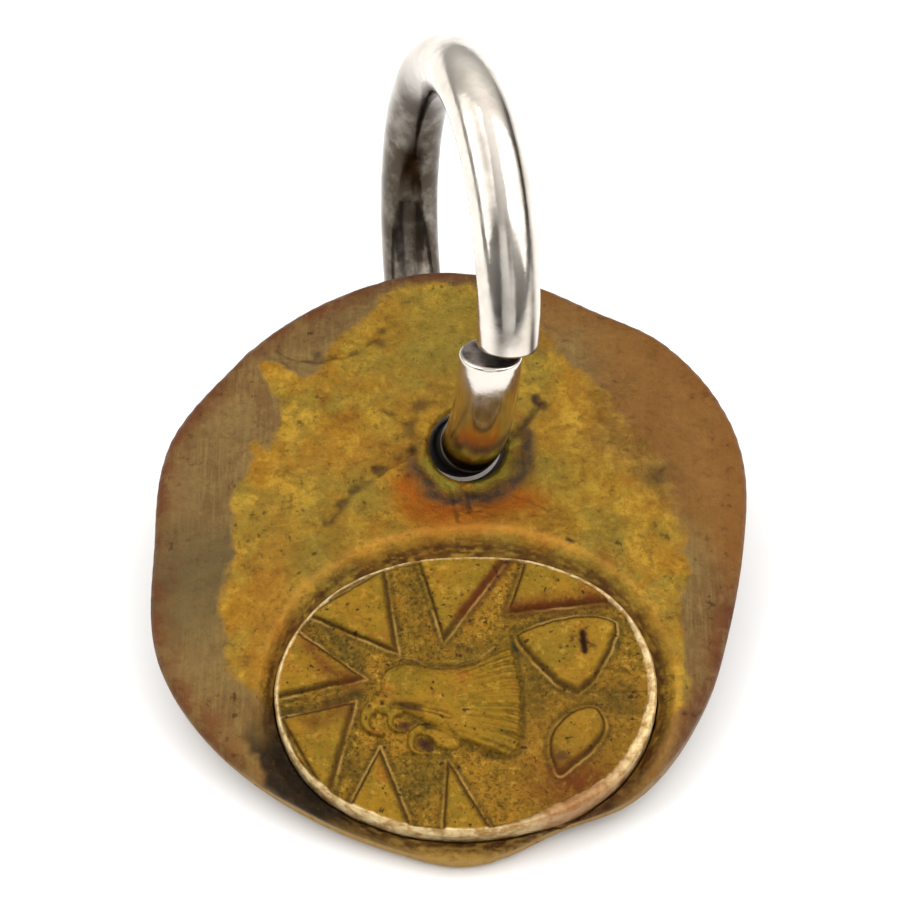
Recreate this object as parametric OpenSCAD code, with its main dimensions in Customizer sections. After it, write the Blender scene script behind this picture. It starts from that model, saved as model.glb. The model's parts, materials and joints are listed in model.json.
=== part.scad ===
// Cast brass seal pendant hanging on a bent silver split ring.
// Millimetres, +Z up. The pendant rests on a table: its lower edge and the lowest point of
// the ring both touch Z = 0, and the face looks up and towards -Y.
// Origin: the middle of the whole pendant's footprint, on the table.

/* [Plate] */
// Thickness of the plate at the ring hole
plate_t = 1.2; // [1.0:0.1:1.6]
// How far the face falls from the middle of the plate to its border
plate_fall = 0.45; // [0.2:0.05:0.6]
// Lean of the plate when it rests on its lower edge
plate_lean = 12; // [10:0.5:14]
// Height worn off the plate's lower edge, so that it rests on a short flat
foot_flat = 0.06; // [0.02:0.01:0.1]
// Diameter of the ring hole
hole_d = 2.5; // [2.4:0.05:2.8]
// Slant of the ring hole, down towards the top edge
hole_slant = 27; // [25:1:29]
// Slant of the ring hole, down towards the left edge
hole_side_slant = 6; // [5:1:12]

/* [Medallion] */
// Height of the medallion's rim above the plate's face
rim_rise = 0.5; // [0.4:0.05:0.9]
// Height of the medallion's ground above the plate's face
ground_rise = 0.3; // [0.1:0.05:0.35]
// Width of the medallion's rim
rim_w = 0.28; // [0.2:0.02:0.4]
// Height of the raised charges above the ground
charge_rise = 0.15; // [0.1:0.05:0.3]
// Depth of the seat below the plate's face
seat_depth = 0.45; // [0.3:0.05:0.6]
// Gap between the medallion and the wall of its seat
seat_gap = 0.06; // [0.04:0.01:0.1]
// Width of the collar round the medallion
collar_w = 0.75; // [0.5:0.05:0.9]
// Height of the collar above the plate's face
collar_rise = 0.3; // [0.15:0.05:0.4]

/* [Ring] */
// Radius of the ring's wire
wire_r = 1.0; // [0.9:0.05:1.0]
// Radius of the wire's centre line
ring_r = 6.35; // [6.2:0.05:6.5]
// Width of the cut through the ring
ring_gap = 0.25; // [0.2:0.05:0.5]
// Sideways bend of the ring's upper half, about the point opposite the cut
ring_bend = 2.4; // [1:0.5:3.5]
// Turn of the standing ring away from the pendant's middle plane
ring_yaw = 11; // [9:1:13]
// Sideways lean of the standing ring
ring_side_lean = 6; // [4:1:8]
// Height of the cut in the ring, as an angle above the ring's centre
cut_angle = 16; // [12:1:25]

/* [Hidden] */
brass = "#a98a35";
worn_brass = "#b99a3f";
silver = "#c9c7c2";

// Middle of the plate and of the medallion, seen from the hole.
plate_mid = [-0.7, -3.15];
seal_mid = [-0.3, -8.8];
// The hole's place over the table, and how far its mouth lies above the plate axes' origin.
hole_xy = [0.67, 0.5];
hole_mouth = [-0.15, 0.28, 0];
// The ring's centre, seen from the hole.
ring_from_hole = [-0.77, 5.73];

// Lobes and hollows of the plate's edge: [angle, distance from plate_mid].
plate_edge = [
    [0, 9.5], [24, 10.3], [47, 10.5], [62, 10.2], [76, 10.4], [98, 10.5],
    [138, 9.9], [157, 10], [181, 9.6], [205, 10.2], [240, 10.4], [258, 10.7],
    [273, 11.1], [289, 10.5], [303, 10.6], [324, 9.9], [342, 9.4]
];
// The medallion's oval: [angle, distance from seal_mid].
seal_edge = [
    [0, 6.05], [30, 5.8], [60, 5.1], [90, 4.65], [120, 4.95], [150, 5.5],
    [180, 5.9], [210, 5.7], [240, 5.15], [270, 4.9], [300, 5.1], [330, 5.75]
];

// Cuts in the medallion: seven rays with their base at the rim and a kite.
rays = [
    [[-6.3, -0.3], [-5.4, 2.3], [-3.1, 0.45]],
    [[-5.0, 3.0], [-2.6, 4.4], [-2.1, 1.3]],
    [[-1.6, 5.0], [1.5, 4.9], [-0.7, 1.7]],
    [[2.0, 5.0], [5.0, 3.4], [1.3, 2.8]],
    [[-5.8, -1.0], [-4.3, -3.7], [-3.3, -0.3]],
    [[-3.7, -4.2], [-1.6, -4.9], [-2.65, -1.9]],
    [[-0.7, -5.0], [1.0, -5.0], [-0.6, -2.2]]
];
kite = [[2.0, 2.2], [4.3, 2.6], [4.8, 2.1], [3.5, -0.1], [1.7, 1.7]];
// The bird's neck and head, and the beak that curls down from it.
neck = [[-2.2, 0.8], [-1, 0.9], [0.3, 1.1], [1.35, 1.6], [1.7, 0], [1.6, -2.1], [0.2, -1.9], [-1, -1.7]];

edge_steps = 90;
// How far the ring's halves run into each other, in degrees.
ring_lap = 1;
skin = 0.01;
// Side of the block that stands on the table and trims the plate's lower edge.
table_w = 40;

// Slope of a closed [angle, radius] list at its point i.
function edge_slope(e, i) =
    let (n = len(e), p = e[(i + n - 1) % n], q = e[(i + 1) % n],
         gap = q[0] - p[0])
    (q[1] - p[1]) / (gap > 0 ? gap : gap + 360);

// Radius of a closed [angle, radius] list at angle a, as a smooth curve through its points.
function edge_radius(e, a) =
    let (n = len(e),
         i = max([for (k = [0 : n - 1]) if (e[k][0] <= a) k]),
         j = (i + 1) % n,
         span = (j == 0 ? e[0][0] + 360 : e[j][0]) - e[i][0],
         t = (a - e[i][0]) / span,
         u = 1 - t)
    e[i][1] * (1 + 2 * t) * u * u + edge_slope(e, i) * span * t * u * u
    + e[j][1] * (3 - 2 * t) * t * t - edge_slope(e, j) * span * t * t * u;

// Points of a closed edge, moved outwards by grow.
function edge_points(e, mid, grow = 0) = [
    for (k = [0 : edge_steps - 1])
        let (a = k * 360 / edge_steps, r = edge_radius(e, a) + grow)
        [mid[0] + r * cos(a), mid[1] + r * sin(a)]
];

plate_outline = edge_points(plate_edge, plate_mid);
plate_foot = min([for (p = plate_outline) p[1]]);
hole_z = plate_t * cos(plate_lean) - plate_foot * sin(plate_lean) - foot_flat;
ring_z = wire_r + ring_r * cos(ring_side_lean);
cut_half_angle = ring_gap / ring_r * 90 / PI;
dome_r = 10 * 10 / (2 * plate_fall);
dome_rise = pow(norm(plate_mid), 2) / (2 * dome_r);

// The plate's own axes: origin at the hole's mouth, +Z out of the face.
module on_plate() {
    translate([hole_xy[0], hole_xy[1], hole_z]) rotate([plate_lean, 0, 0]) children();
}

// The ring's own axes: origin at its centre, +Z along its axis, +X towards the cut,
// +Y towards the half that passes through the hole.
module on_ring() {
    translate([hole_xy[0] + ring_from_hole[0], hole_xy[1] + ring_from_hole[1], ring_z])
        rotate([0, ring_side_lean, ring_yaw])
            rotate([-90 - cut_angle, 0, 0])
                rotate([0, 90, 0])
                    children();
}

// A flat slab with the medallion's outline, grown by grow.
module oval_slab(z0, z1, grow) {
    translate([0, 0, z0])
        linear_extrude(z1 - z0)
            polygon(edge_points(seal_edge, seal_mid, grow));
}

module ring_hole() {
    translate(hole_mouth)
        rotate([hole_slant, hole_side_slant, 0])
            cylinder(h = 8, d = hole_d, center = true, $fn = 64);
}

module seal_plate() {
    color(brass)
    intersection() {
        translate([-table_w / 2, -table_w / 2, 0]) cube(table_w);
        on_plate()
        difference() {
            intersection() {
                translate([0, 0, -plate_t])
                    linear_extrude(plate_t + 1)
                        polygon(plate_outline);
                union() {
                    translate([plate_mid[0], plate_mid[1], dome_rise - dome_r])
                        sphere(r = dome_r, $fn = 360);
                    oval_slab(-plate_t / 2, collar_rise / 2, collar_w);
                    oval_slab(-plate_t / 2, collar_rise, collar_w / 2);
                }
            }
            oval_slab(-seat_depth, rim_rise, seat_gap);
            ring_hole();
        }
    }
}

module half_ring(start, lap = 0) {
    rotate([0, 0, start])
        rotate_extrude(angle = 180 - cut_half_angle + lap, $fn = 96)
            translate([ring_r, 0])
                circle(r = wire_r, $fn = 48);
}

module split_ring() {
    color(silver)
    on_ring() {
        half_ring(cut_half_angle, ring_lap);
        translate([-ring_r, 0, 0])
            rotate([0, -ring_bend, 0])
                translate([ring_r, 0, 0])
                    half_ring(180);
    }
}

module charge(points) {
    translate([seal_mid[0], seal_mid[1], 0])
        linear_extrude(ground_rise + charge_rise)
            polygon(points);
}

module seal_medallion() {
    color(worn_brass)
    on_plate() {
        difference() {
            oval_slab(-seat_depth, rim_rise, 0);
            oval_slab(ground_rise, rim_rise + 1, -rim_w);
        }
        intersection() {
            oval_slab(0, ground_rise + charge_rise, -skin);
            union() {
                for (ray = rays) charge(ray);
                charge(kite);
                charge(neck);
            }
        }
    }
}

seal_plate();
seal_medallion();
split_ring();
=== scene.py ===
import json
import math
import bpy
import numpy as np
from mathutils import Matrix, Vector
from mathutils.geometry import delaunay_2d_cdt
from mathutils.kdtree import KDTree


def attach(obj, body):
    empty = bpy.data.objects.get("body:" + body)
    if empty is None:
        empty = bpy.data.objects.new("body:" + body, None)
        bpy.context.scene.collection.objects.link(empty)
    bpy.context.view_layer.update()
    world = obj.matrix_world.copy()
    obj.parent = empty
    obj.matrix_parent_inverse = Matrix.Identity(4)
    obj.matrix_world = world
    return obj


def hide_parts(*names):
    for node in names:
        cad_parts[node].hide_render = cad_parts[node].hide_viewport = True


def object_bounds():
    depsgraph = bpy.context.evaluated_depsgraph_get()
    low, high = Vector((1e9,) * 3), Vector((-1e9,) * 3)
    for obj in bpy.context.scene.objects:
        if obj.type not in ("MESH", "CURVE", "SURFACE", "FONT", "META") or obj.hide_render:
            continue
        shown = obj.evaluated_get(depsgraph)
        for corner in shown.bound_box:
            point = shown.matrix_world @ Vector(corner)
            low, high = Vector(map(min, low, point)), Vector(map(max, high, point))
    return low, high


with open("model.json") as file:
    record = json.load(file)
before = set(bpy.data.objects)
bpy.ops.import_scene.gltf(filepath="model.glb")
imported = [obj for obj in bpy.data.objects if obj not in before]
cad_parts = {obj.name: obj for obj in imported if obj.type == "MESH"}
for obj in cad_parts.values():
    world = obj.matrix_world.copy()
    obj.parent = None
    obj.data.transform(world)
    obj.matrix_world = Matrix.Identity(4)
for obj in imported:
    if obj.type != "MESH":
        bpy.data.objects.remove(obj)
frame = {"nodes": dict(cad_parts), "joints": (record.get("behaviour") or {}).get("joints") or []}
cad_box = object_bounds()

# Lengths are in millimetres, in the plate's own axes or for the ring in the pendant's, and become
# metres when a mesh is made.
MM = 0.001
PLATE_LEAN = math.radians(12)

# ---- Small numeric tools ----


def ease(t):
    t = np.clip(t, 0, 1)
    return t * t * (3 - 2 * t)


def bump(d, width):
    """A rounded hill of height 1 at d = 0."""
    return np.exp(-(d / width) ** 2)


def value_noise(x, y, size, seed):
    """Smooth noise from 0 to 1, with features about size across."""
    table = np.random.RandomState(seed).rand(256, 256)
    u, v = x / size + 500, y / size + 500
    i, j = np.floor(u).astype(int), np.floor(v).astype(int)
    fu, fv = ease(u - i), ease(v - j)
    i0, i1, j0, j1 = i % 256, (i + 1) % 256, j % 256, (j + 1) % 256
    low = table[i0, j0] * (1 - fu) + table[i1, j0] * fu
    high = table[i0, j1] * (1 - fu) + table[i1, j1] * fu
    return low * (1 - fv) + high * fv


def fractal(x, y, size, seed, octaves=4):
    """Layered noise from about -1 to 1."""
    total, weight = 0, 0
    for k in range(octaves):
        share = 0.55 ** k
        total = total + share * (2 * value_noise(x, y, size / 2 ** k, seed + k) - 1)
        weight += share
    return total / weight


def around(knots, degrees):
    """A smooth value round a closed curve from [angle, value] knots."""
    angle = np.array([k[0] for k in knots], float)
    value = np.array([k[1] for k in knots], float)
    a = np.mod(degrees, 360)
    i = np.searchsorted(angle, a, side="right") - 1
    j = (i + 1) % len(knots)
    span = np.mod(angle[j] - angle[i], 360)
    t = ease(np.mod(a - angle[i], 360) / span)
    return value[i] * (1 - t) + value[j] * t


def polygon_distance(x, y, points):
    """Signed distance to a polygon, negative inside."""
    pts = np.array(points, float)
    best = np.full(x.shape, 1e9)
    inside = np.zeros(x.shape, bool)
    for a, b in zip(pts, np.roll(pts, -1, axis=0)):
        best = np.minimum(best, segment_distance(x, y, a, b))
        crosses = (a[1] > y) != (b[1] > y)
        with np.errstate(divide="ignore", invalid="ignore"):
            at = (b[0] - a[0]) * (y - a[1]) / (b[1] - a[1]) + a[0]
        inside ^= crosses & (x < at)
    return np.where(inside, -best, best)


def segment_distance(x, y, a, b):
    dx, dy = b[0] - a[0], b[1] - a[1]
    t = np.clip(((x - a[0]) * dx + (y - a[1]) * dy) / (dx * dx + dy * dy), 0, 1)
    return np.hypot(x - a[0] - t * dx, y - a[1] - t * dy)


def line_distance(x, y, points):
    parts = [segment_distance(x, y, a, b) for a, b in zip(points, points[1:])]
    return np.minimum.reduce(parts)


def marks(x, y, ovals=(), lines=()):
    """The strongest of soft marks, each an oval by middle and half sizes, or a line by points and width.

    Each mark's last value is its strength.
    """
    parts = [strength * bump(np.hypot((x - at[0]) / half[0], (y - at[1]) / half[1]), 1.0)
             for at, half, strength in ovals]
    parts += [strength * bump(line_distance(x, y, points), width) for points, width, strength in lines]
    return np.maximum.reduce(parts)


def spline(points, steps=8, closed=True):
    """Points along a smooth curve through given ones."""
    pts = np.array(points, float)
    n = len(pts)
    out = []
    for i in range(n if closed else n - 1):
        p0, p1, p2, p3 = (pts[k % n] if closed else pts[min(max(k, 0), n - 1)] for k in range(i - 1, i + 3))
        for s in range(steps):
            t = s / steps
            out.append(0.5 * (2 * p1 + (p2 - p0) * t + (2 * p0 - 5 * p1 + 4 * p2 - p3) * t * t
                              + (3 * p1 - p0 - 3 * p2 + p3) * t ** 3))
    if not closed:
        out.append(pts[-1])
    return np.array(out)


# ---- The plate's axes, its outline, the medallion's outline and the hole, from the CAD model ----

c, s = math.cos(PLATE_LEAN), math.sin(PLATE_LEAN)
TO_PLATE = np.array([[1, 0, 0], [0, c, s], [0, -s, c]])


def cad_points(node):
    """A CAD node's vertices in millimetres."""
    mesh = frame["nodes"][node].data
    co = np.empty(len(mesh.vertices) * 3)
    mesh.vertices.foreach_get("co", co)
    return co.reshape(-1, 3) / MM


def leaning_points(node):
    return cad_points(node) @ TO_PLATE.T


def middle(points):
    return (points.min(axis=0) + points.max(axis=0)) / 2


def loop_round(points):
    """Points of a closed outline in order round their middle, without repeats."""
    arm = points[:, :2] - middle(points)[:2]
    order = np.argsort(np.arctan2(arm[:, 1], arm[:, 0]))
    kept = []
    for p in points[order, :2]:
        if not kept or np.hypot(*(p - kept[-1])) > 0.15:
            kept.append(p)
    return np.array(kept)


def resample(loop, count):
    """The same closed outline as a smooth curve with count evenly spaced points."""
    curve = spline(loop, 8)
    curve = np.vstack([curve, curve[:1]])
    along = np.concatenate([[0], np.cumsum(np.hypot(*np.diff(curve, axis=0).T))])
    at = np.linspace(0, along[-1], count, endpoint=False)
    return np.stack([np.interp(at, along, curve[:, k]) for k in range(2)], axis=1)


def steep_points(points, faces, limit):
    """Vertices of the faces that stand across the plate, limited to chosen vertices."""
    chosen = set()
    for face in faces:
        across = abs((TO_PLATE @ np.array(face.normal))[2]) < 0.6
        if across and all(limit[v] for v in face.vertices):
            chosen.update(face.vertices)
    return points[sorted(chosen)]


plate_points = leaning_points("seal_plate")
back_level = plate_points[:, 2].min()
plate_faces = frame["nodes"]["seal_plate"].data.polygons
back_points = plate_points[plate_points[:, 2] < back_level + 0.02]
reach_of_back = np.hypot(*(back_points - middle(back_points))[:, :2].T)
hole_back = middle(back_points[reach_of_back < 6.5])
# The wall of the hole; its upper rim is the hole's mouth.
near_hole = np.hypot(*(plate_points - hole_back)[:, :2].T) < 2.4
wall_points = steep_points(plate_points, plate_faces, near_hole)
mouth = middle(wall_points[wall_points[:, 2] > back_level + 0.6])
hole_size = np.ptp(back_points[reach_of_back < 6.5], axis=0)
HOLE_R = hole_size[0] / 2
HOLE_STRETCH = hole_size[1] / hole_size[0]
hole_run = (hole_back - mouth) / (mouth[2] - hole_back[2])
# The side wall is the steep faces that are out of reach of the medallion's seat or below it.
reach = np.hypot(*(plate_points - middle(back_points))[:, :2].T)
side_points = steep_points(plate_points, plate_faces, reach > 6.5)
outline_raw = loop_round(side_points[side_points[:, 2] < back_level + 0.12])

ORIGIN = mouth
BACK = back_level - ORIGIN[2]
outline = resample(outline_raw - ORIGIN[:2], 1400)
plate_mid = middle(outline)
medallion_points = leaning_points("seal_medallion") - ORIGIN
seat_floor = medallion_points[:, 2].min()
oval = resample(loop_round(medallion_points[medallion_points[:, 2] < seat_floor + 0.02]), 1000)
SEAL = middle(oval)


def to_world(points):
    return (points + ORIGIN) @ TO_PLATE * MM


class Outline:
    """A closed smooth outline that gives distances to it, positive inside."""

    def __init__(self, loop):
        self.loop = loop
        self.mid = middle(loop)
        arm = loop - self.mid
        angle = np.degrees(np.arctan2(arm[:, 1], arm[:, 0]))
        order = np.argsort(angle)
        self.angle, self.radius = angle[order], np.hypot(*arm.T)[order]
        self.tree = KDTree(len(loop))
        for i, p in enumerate(loop):
            self.tree.insert((p[0], p[1], 0), i)
        self.tree.balance()

    def angle_at(self, x, y):
        return np.degrees(np.arctan2(y - self.mid[1], x - self.mid[0]))

    def inside(self, x, y):
        reach = np.interp(self.angle_at(x, y), self.angle, self.radius, period=360)
        d = np.array([self.tree.find((a, b, 0))[2] for a, b in zip(x, y)])
        return np.where(np.hypot(x - self.mid[0], y - self.mid[1]) < reach, d, -d)

    def ring(self, inset, count):
        """The outline moved inwards by inset, as count points."""
        loop = resample(self.loop, count)
        along = np.roll(loop, -1, axis=0) - np.roll(loop, 1, axis=0)
        along /= np.linalg.norm(along, axis=1)[:, None]
        return loop + inset * np.stack([-along[:, 1], along[:, 0]], axis=1)


plate_edge = Outline(outline)
seal_edge = Outline(oval)

# ---- Relief of the plate ----

FALL = 0.45
FALL_AT = 10.0
EDGE_ROUND = 0.28
SEAT_GAP = 0.05
# Width of the brown border, [angle round the plate, width].
BORDER = [[0, 2.0], [22, 2.6], [45, 3.2], [62, 2.4], [84, 0.7], [96, 0.6], [112, 1.7], [130, 2.5],
          [150, 2.7], [180, 2.4], [200, 2.3], [222, 1.7], [242, 0.9], [270, 0.5], [300, 0.4],
          [322, 0.7], [342, 1.5]]
# Distance from the medallion to the crest of its collar, [angle round the medallion, distance].
CREST = [[0, 0.62], [45, 0.85], [90, 1.05], [135, 0.8], [180, 0.5], [225, 0.55], [270, 0.6], [315, 0.6]]
# Cracks and folds: points, depth, width, how dark.
SEAMS = [
    ([(-1.7, -0.25), (-3.0, -1.05), (-3.9, -2.0), (-4.55, -2.95)], 0.06, 0.16, 0.95),
    ([(-2.9, -1.2), (-1.7, -0.3)], 0.08, 0.05, 0.8),
    ([(-2.8, 1.3), (-2.1, 0.8), (-1.5, 0.9)], 0.05, 0.08, 0.8),
    ([(-1.3, 2.3), (-0.7, 3.0)], 0.04, 0.05, 0.3),
    ([(1.3, 0.1), (1.9, 0.75), (2.4, 1.6)], 0.07, 0.10, 1.0),
    ([(2.3, 0.5), (3.5, 0.7)], 0.04, 0.05, 0.5),
    ([(1.5, -1.9), (2.6, -2.5)], 0.06, 0.06, 0.2),
    ([(-0.55, -1.6), (-0.45, -2.3), (-0.3, -3.1)], 0.05, 0.05, 0.7),
    ([(0.0, -1.6), (0.05, -2.7)], 0.05, 0.05, 0.7),
    ([(-6.35, 3.8), (-5.65, 3.4), (-4.8, 3.25), (-3.65, 3.65), (-2.75, 4.55)], 0.07, 0.08, 0.75),
    ([(-7.0, 1.0), (-6.9, -0.4), (-7.5, -2.0)], 0.02, 0.1, 0.0),
    ([(6.6, -2.0), (6.5, -4.2), (6.7, -5.6)], 0.03, 0.1, 0.0),
]
# Stains on the face: middle, half sizes, how dark.
STAINS = [
    ((-1.4, 1.35), (0.40, 0.35), 0.8), ((-1.85, 0.6), (0.30, 0.45), 0.7), ((-2.1, -1.1), (0.22, 0.16), 0.9),
    ((1.55, 0.35), (0.45, 0.35), 0.85), ((2.4, 1.65), (0.20, 0.20), 1.0), ((3.45, -3.8), (0.16, 0.12), 1.0),
    ((6.3, -1.3), (0.80, 0.50), 0.7), ((0.3, -2.05), (1.1, 0.25), 0.5), ((-5.0, 3.45), (0.35, 0.2), 0.8),
    ((2.5, 3.4), (0.5, 0.3), 0.45), ((-2.9, 3.9), (0.25, 0.2), 0.6),
]

# Patches of colour on the face: middle, half sizes, strength; the glow's line runs under the hole.
OLIVE = [((-0.4, 4.0), (2.6, 2.4), 1.0), ((-4.6, -3.6), (1.0, 2.0), 0.7), ((3.0, -1.4), (1.5, 1.6), 0.6)]
ORANGE = [((-6.2, -5.2), (0.9, 2.6), 1.0), ((-4.0, -0.6), (2.2, 0.7), 0.8)]
HEAT = [((2.3, -0.9), (0.9, 0.9), 0.9), ((1.5, -2.2), (0.7, 0.35), 1.0),
        ((-0.1, -2.6), (1.1, 0.5), 0.85), ((3.0, -3.0), (1.2, 0.6), 0.5)]
GLOW = [(-2.0, -1.4), (-1.4, -2.4), (0.2, -2.7), (1.6, -2.2)]


def plate_fields(x, y):
    """Everything the relief and the colours of the plate depend on."""
    inset = plate_edge.inside(x, y)
    out = -seal_edge.inside(x, y)
    round_seal = seal_edge.angle_at(x, y)
    round_plate = plate_edge.angle_at(x, y)
    wobble = fractal(x, y, 1.6, 11)
    border = around(BORDER, round_plate) * (1 + 0.22 * wobble) + 0.22 * fractal(x, y, 0.5, 21)
    seam = np.zeros(x.shape)
    depth = np.zeros(x.shape)
    bent_x, bent_y = x + 0.08 * fractal(x, y, 0.5, 31), y + 0.08 * fractal(x, y, 0.5, 41)
    for points, deep, wide, dark in SEAMS:
        d = line_distance(bent_x, bent_y, points)
        seam = np.maximum(seam, dark * bump(d, 1.3 * wide))
        depth = depth + deep * bump(d, wide)
    # A tongue of the clean face reaches the edge at the upper left.
    border = border * (1 - 0.75 * bump(round_plate - 133 + 3 * wobble, 3.5))
    border = border + 0.35 * fractal(x * 1.6, y * 0.7, 0.8, 381) * ease(border)
    slant = np.hypot(x, y / HOLE_STRETCH) - HOLE_R
    return dict(inset=inset, out=out, crest=around(CREST, round_seal), border=border, seam=seam, depth=depth,
                hole=slant, round_seal=round_seal, round_plate=round_plate)


def edge_drop(inset):
    """How far the rounded edge falls below the face, inset from the outline."""
    edge = np.clip(EDGE_ROUND - inset, 0, EDGE_ROUND)
    return EDGE_ROUND - np.sqrt(EDGE_ROUND ** 2 - edge ** 2)


def plate_front(x, y, f):
    far = np.hypot(x - plate_mid[0], y - plate_mid[1])
    near = math.hypot(*plate_mid)
    z = FALL * (near ** 2 - far ** 2) / FALL_AT ** 2
    # The border falls away a little more, from a soft fold.
    fold = f["border"] - f["inset"]
    z -= 0.10 * ease(fold / 1.4)
    z += 0.05 * bump(fold, 0.35)
    # Collar round the medallion: a hollow next to it, a crest, then a long fall to the face.
    out, crest = f["out"], f["crest"]
    near_crest = np.clip(out / crest, 0, 1)
    hollow = 0.11 + 0.19 * near_crest ** 1.8 + 0.03 * fractal(x, y, 0.5, 241) * (1 - near_crest)
    slope = 0.30 * np.exp(-np.clip(out - crest, 0, 9) ** 2 / 0.8)
    z += np.where(out < crest, hollow, slope)
    # Cracks, the worn dish round the hole and its rounded mouth.
    z -= f["depth"]
    z -= 0.07 * bump(f["hole"], 0.35) * (1 + 0.6 * fractal(x, y, 0.3, 51))
    z += 0.05 * bump(f["hole"] - 0.65, 0.15) * (0.6 + fractal(x, y, 0.7, 251))
    z -= 0.1 * (1 - ease(f["hole"] / 0.13))
    # Cast and hand-worked surface.
    z += 0.07 * fractal(x, y, 3.2, 61, 3)
    z += 0.022 * fractal(x, y, 0.6, 71) + 0.006 * fractal(x, y, 0.16, 81, 2)
    pits = np.clip(value_noise(x, y, 0.22, 91) - 0.84, 0, 1) / 0.16
    z -= 0.04 * pits
    z = np.where(out < SEAT_GAP, np.minimum(z, seat_floor - 0.01), z)
    return z - edge_drop(f["inset"])


def plate_back(x, y, inset):
    z = BACK + 0.02 * (1 + fractal(x, y, 2.5, 101, 3))
    return z + edge_drop(inset)


# ---- Relief of the medallion, in millimetres from its middle ----

GROUND = 0.30
CHARGE = 0.15
WALL = 0.12
# The sides of the charges that face right and down are wider.
WIDE_WALL = 0.42
RAY_SHIFT = (0.09, 0.07)
SHAPE_SHIFT = (0.0, 0.13)
RAYS = [
    [(-6.3, -0.35), (-5.5, 2.3), (-3.1, 0.45)],
    [(-5.1, 2.7), (-2.55, 4.4), (-2.1, 1.3)],
    [(-1.65, 5.0), (1.5, 4.9), (-0.7, 1.7)],
    [(2.0, 5.0), (5.0, 3.2), (1.3, 2.75)],
    [(-5.8, -0.9), (-4.2, -3.8), (-3.4, -0.3)],
    [(-3.7, -4.1), (-1.5, -4.9), (-2.65, -1.85)],
    [(-0.75, -5.0), (1.0, -5.0), (-0.6, -2.2)],
]
KITE = [(1.95, 2.2), (3.1, 2.6), (4.2, 2.65), (4.8, 2.1), (3.5, -0.1), (1.65, 1.7)]
ALMOND = [(4.1, -0.55), (3.5, -0.55), (2.95, -0.95), (2.6, -1.55), (2.6, -2.2), (2.85, -2.85), (3.3, -2.55),
          (4.0, -1.9), (4.35, -1.2)]
NECK = [(-2.3, 0.75), (-1.6, 0.95), (-0.8, 0.85), (0.2, 0.95), (0.9, 1.4), (1.4, 1.55), (1.6, 0.9), (1.7, 0),
        (1.7, -1.3), (1.5, -2.1), (0.8, -2.1), (0.1, -1.75), (-0.7, -1.35), (-1.5, -0.9), (-2.3, -0.4)]
FINE_LINE = [(-2.7, 0.7), (-2.1, 1.15), (-1.6, 1.15), (-1.2, 0.95), (-0.4, 0.9), (0.3, 1.1), (0.9, 1.6)]
# The bird's head and brow as lenses, and its beak and curls as arc bands: height, then place and size.
HEAD = [(0.26, (-1.95, 0.35, 0.75, 0.62, 20)), (0.20, (-2.45, -0.4, 0.55, 0.42, -30))]
CURLS = [(0.17, (-2.6, -0.95, 0.52, 0.27, 85, 285)), (0.14, (-2.0, -1.0, 0.36, 0.18, 70, 300)),
         (0.14, (-1.3, -1.7, 0.42, 0.17, 80, 300))]
EYE = (-2.6, -0.42)
# Groups of small dark pits: middle, spread, how many.
PIT_GROUPS = [((-0.55, 3.3), 0.28, 8), ((3.3, 1.9), 0.55, 9), ((-2.9, 2.5), 0.3, 2), ((4.3, 3.45), 0.3, 3),
              ((0.9, 4.2), 0.35, 4), ((-4.6, 1.0), 0.5, 5)]
# Shaded and rusty marks: ovals by middle, half sizes, strength; lines by points, width, strength.
SHADE_OVALS = [((4.7, -0.2), (0.7, 0.9), 0.8), ((-1.4, -3.2), (0.6, 1.0), 0.7),
               ((-0.2, 1.5), (1.2, 0.4), 0.7), ((2.2, 0.1), (0.5, 1.4), 0.6)]
SHADE_LINES = [([(-5.6, -0.75), (-4.6, -0.5), (-3.4, 0.0)], 0.3, 1.0),
               ([(-3.6, -2.4), (-3.1, -3.4)], 0.25, 0.8),
               ([(-5.3, 2.5), (-4.4, 2.3), (-3.4, 1.1)], 0.3, 0.7), ([(-1.7, 3.8), (-1.4, 2.2)], 0.35, 0.5)]
RUST_OVALS = [((3.4, -3.1), (1.6, 0.8), 1.0)]
RUST_LINES = [([(1.5, 2.9), (3.0, 3.1), (4.8, 3.4)], 0.3, 1.0), ([(-0.2, 2.6), (1.3, 4.6)], 0.22, 1.0),
              ([(-4.9, 1.5), (-4.2, 0.6), (-3.5, 0.4)], 0.3, 0.8), ([(-5.1, -1.2), (-3.9, -0.6)], 0.4, 0.6)]
# Rim lip: [angle, width], widest where the flash was trimmed.
LIP = [[0, 0.24], [40, 0.12], [90, 0.08], [150, 0.09], [190, 0.11], [230, 0.11], [262, 0.11], [285, 0.14],
       [312, 0.34], [335, 0.34]]


def dome(x, y, cx, cy, rx, ry, turn):
    """A rounded lens from 0 at its edge to 1 in its middle."""
    t = math.radians(turn)
    u = (x - cx) * math.cos(t) + (y - cy) * math.sin(t)
    v = -(x - cx) * math.sin(t) + (y - cy) * math.cos(t)
    return np.sqrt(np.clip(1 - (u / rx) ** 2 - (v / ry) ** 2, 0, 1))


def arc_band(x, y, cx, cy, radius, half, start, end):
    """A rounded band along an arc, tapering to its end."""
    a = np.mod(np.degrees(np.arctan2(y - cy, x - cx)) - start, 360)
    share = a / (end - start)
    width = half * np.clip(1.15 - share, 0.25, 1)
    d = np.abs(np.hypot(x - cx, y - cy) - radius)
    return np.sqrt(np.clip(1 - (d / width) ** 2, 0, 1)) * ease((1 - share) * 12) * ease(share * 12)


def distance_to(shapes, u, v):
    return np.minimum.reduce([polygon_distance(u, v, shape) for shape in shapes])


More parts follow.
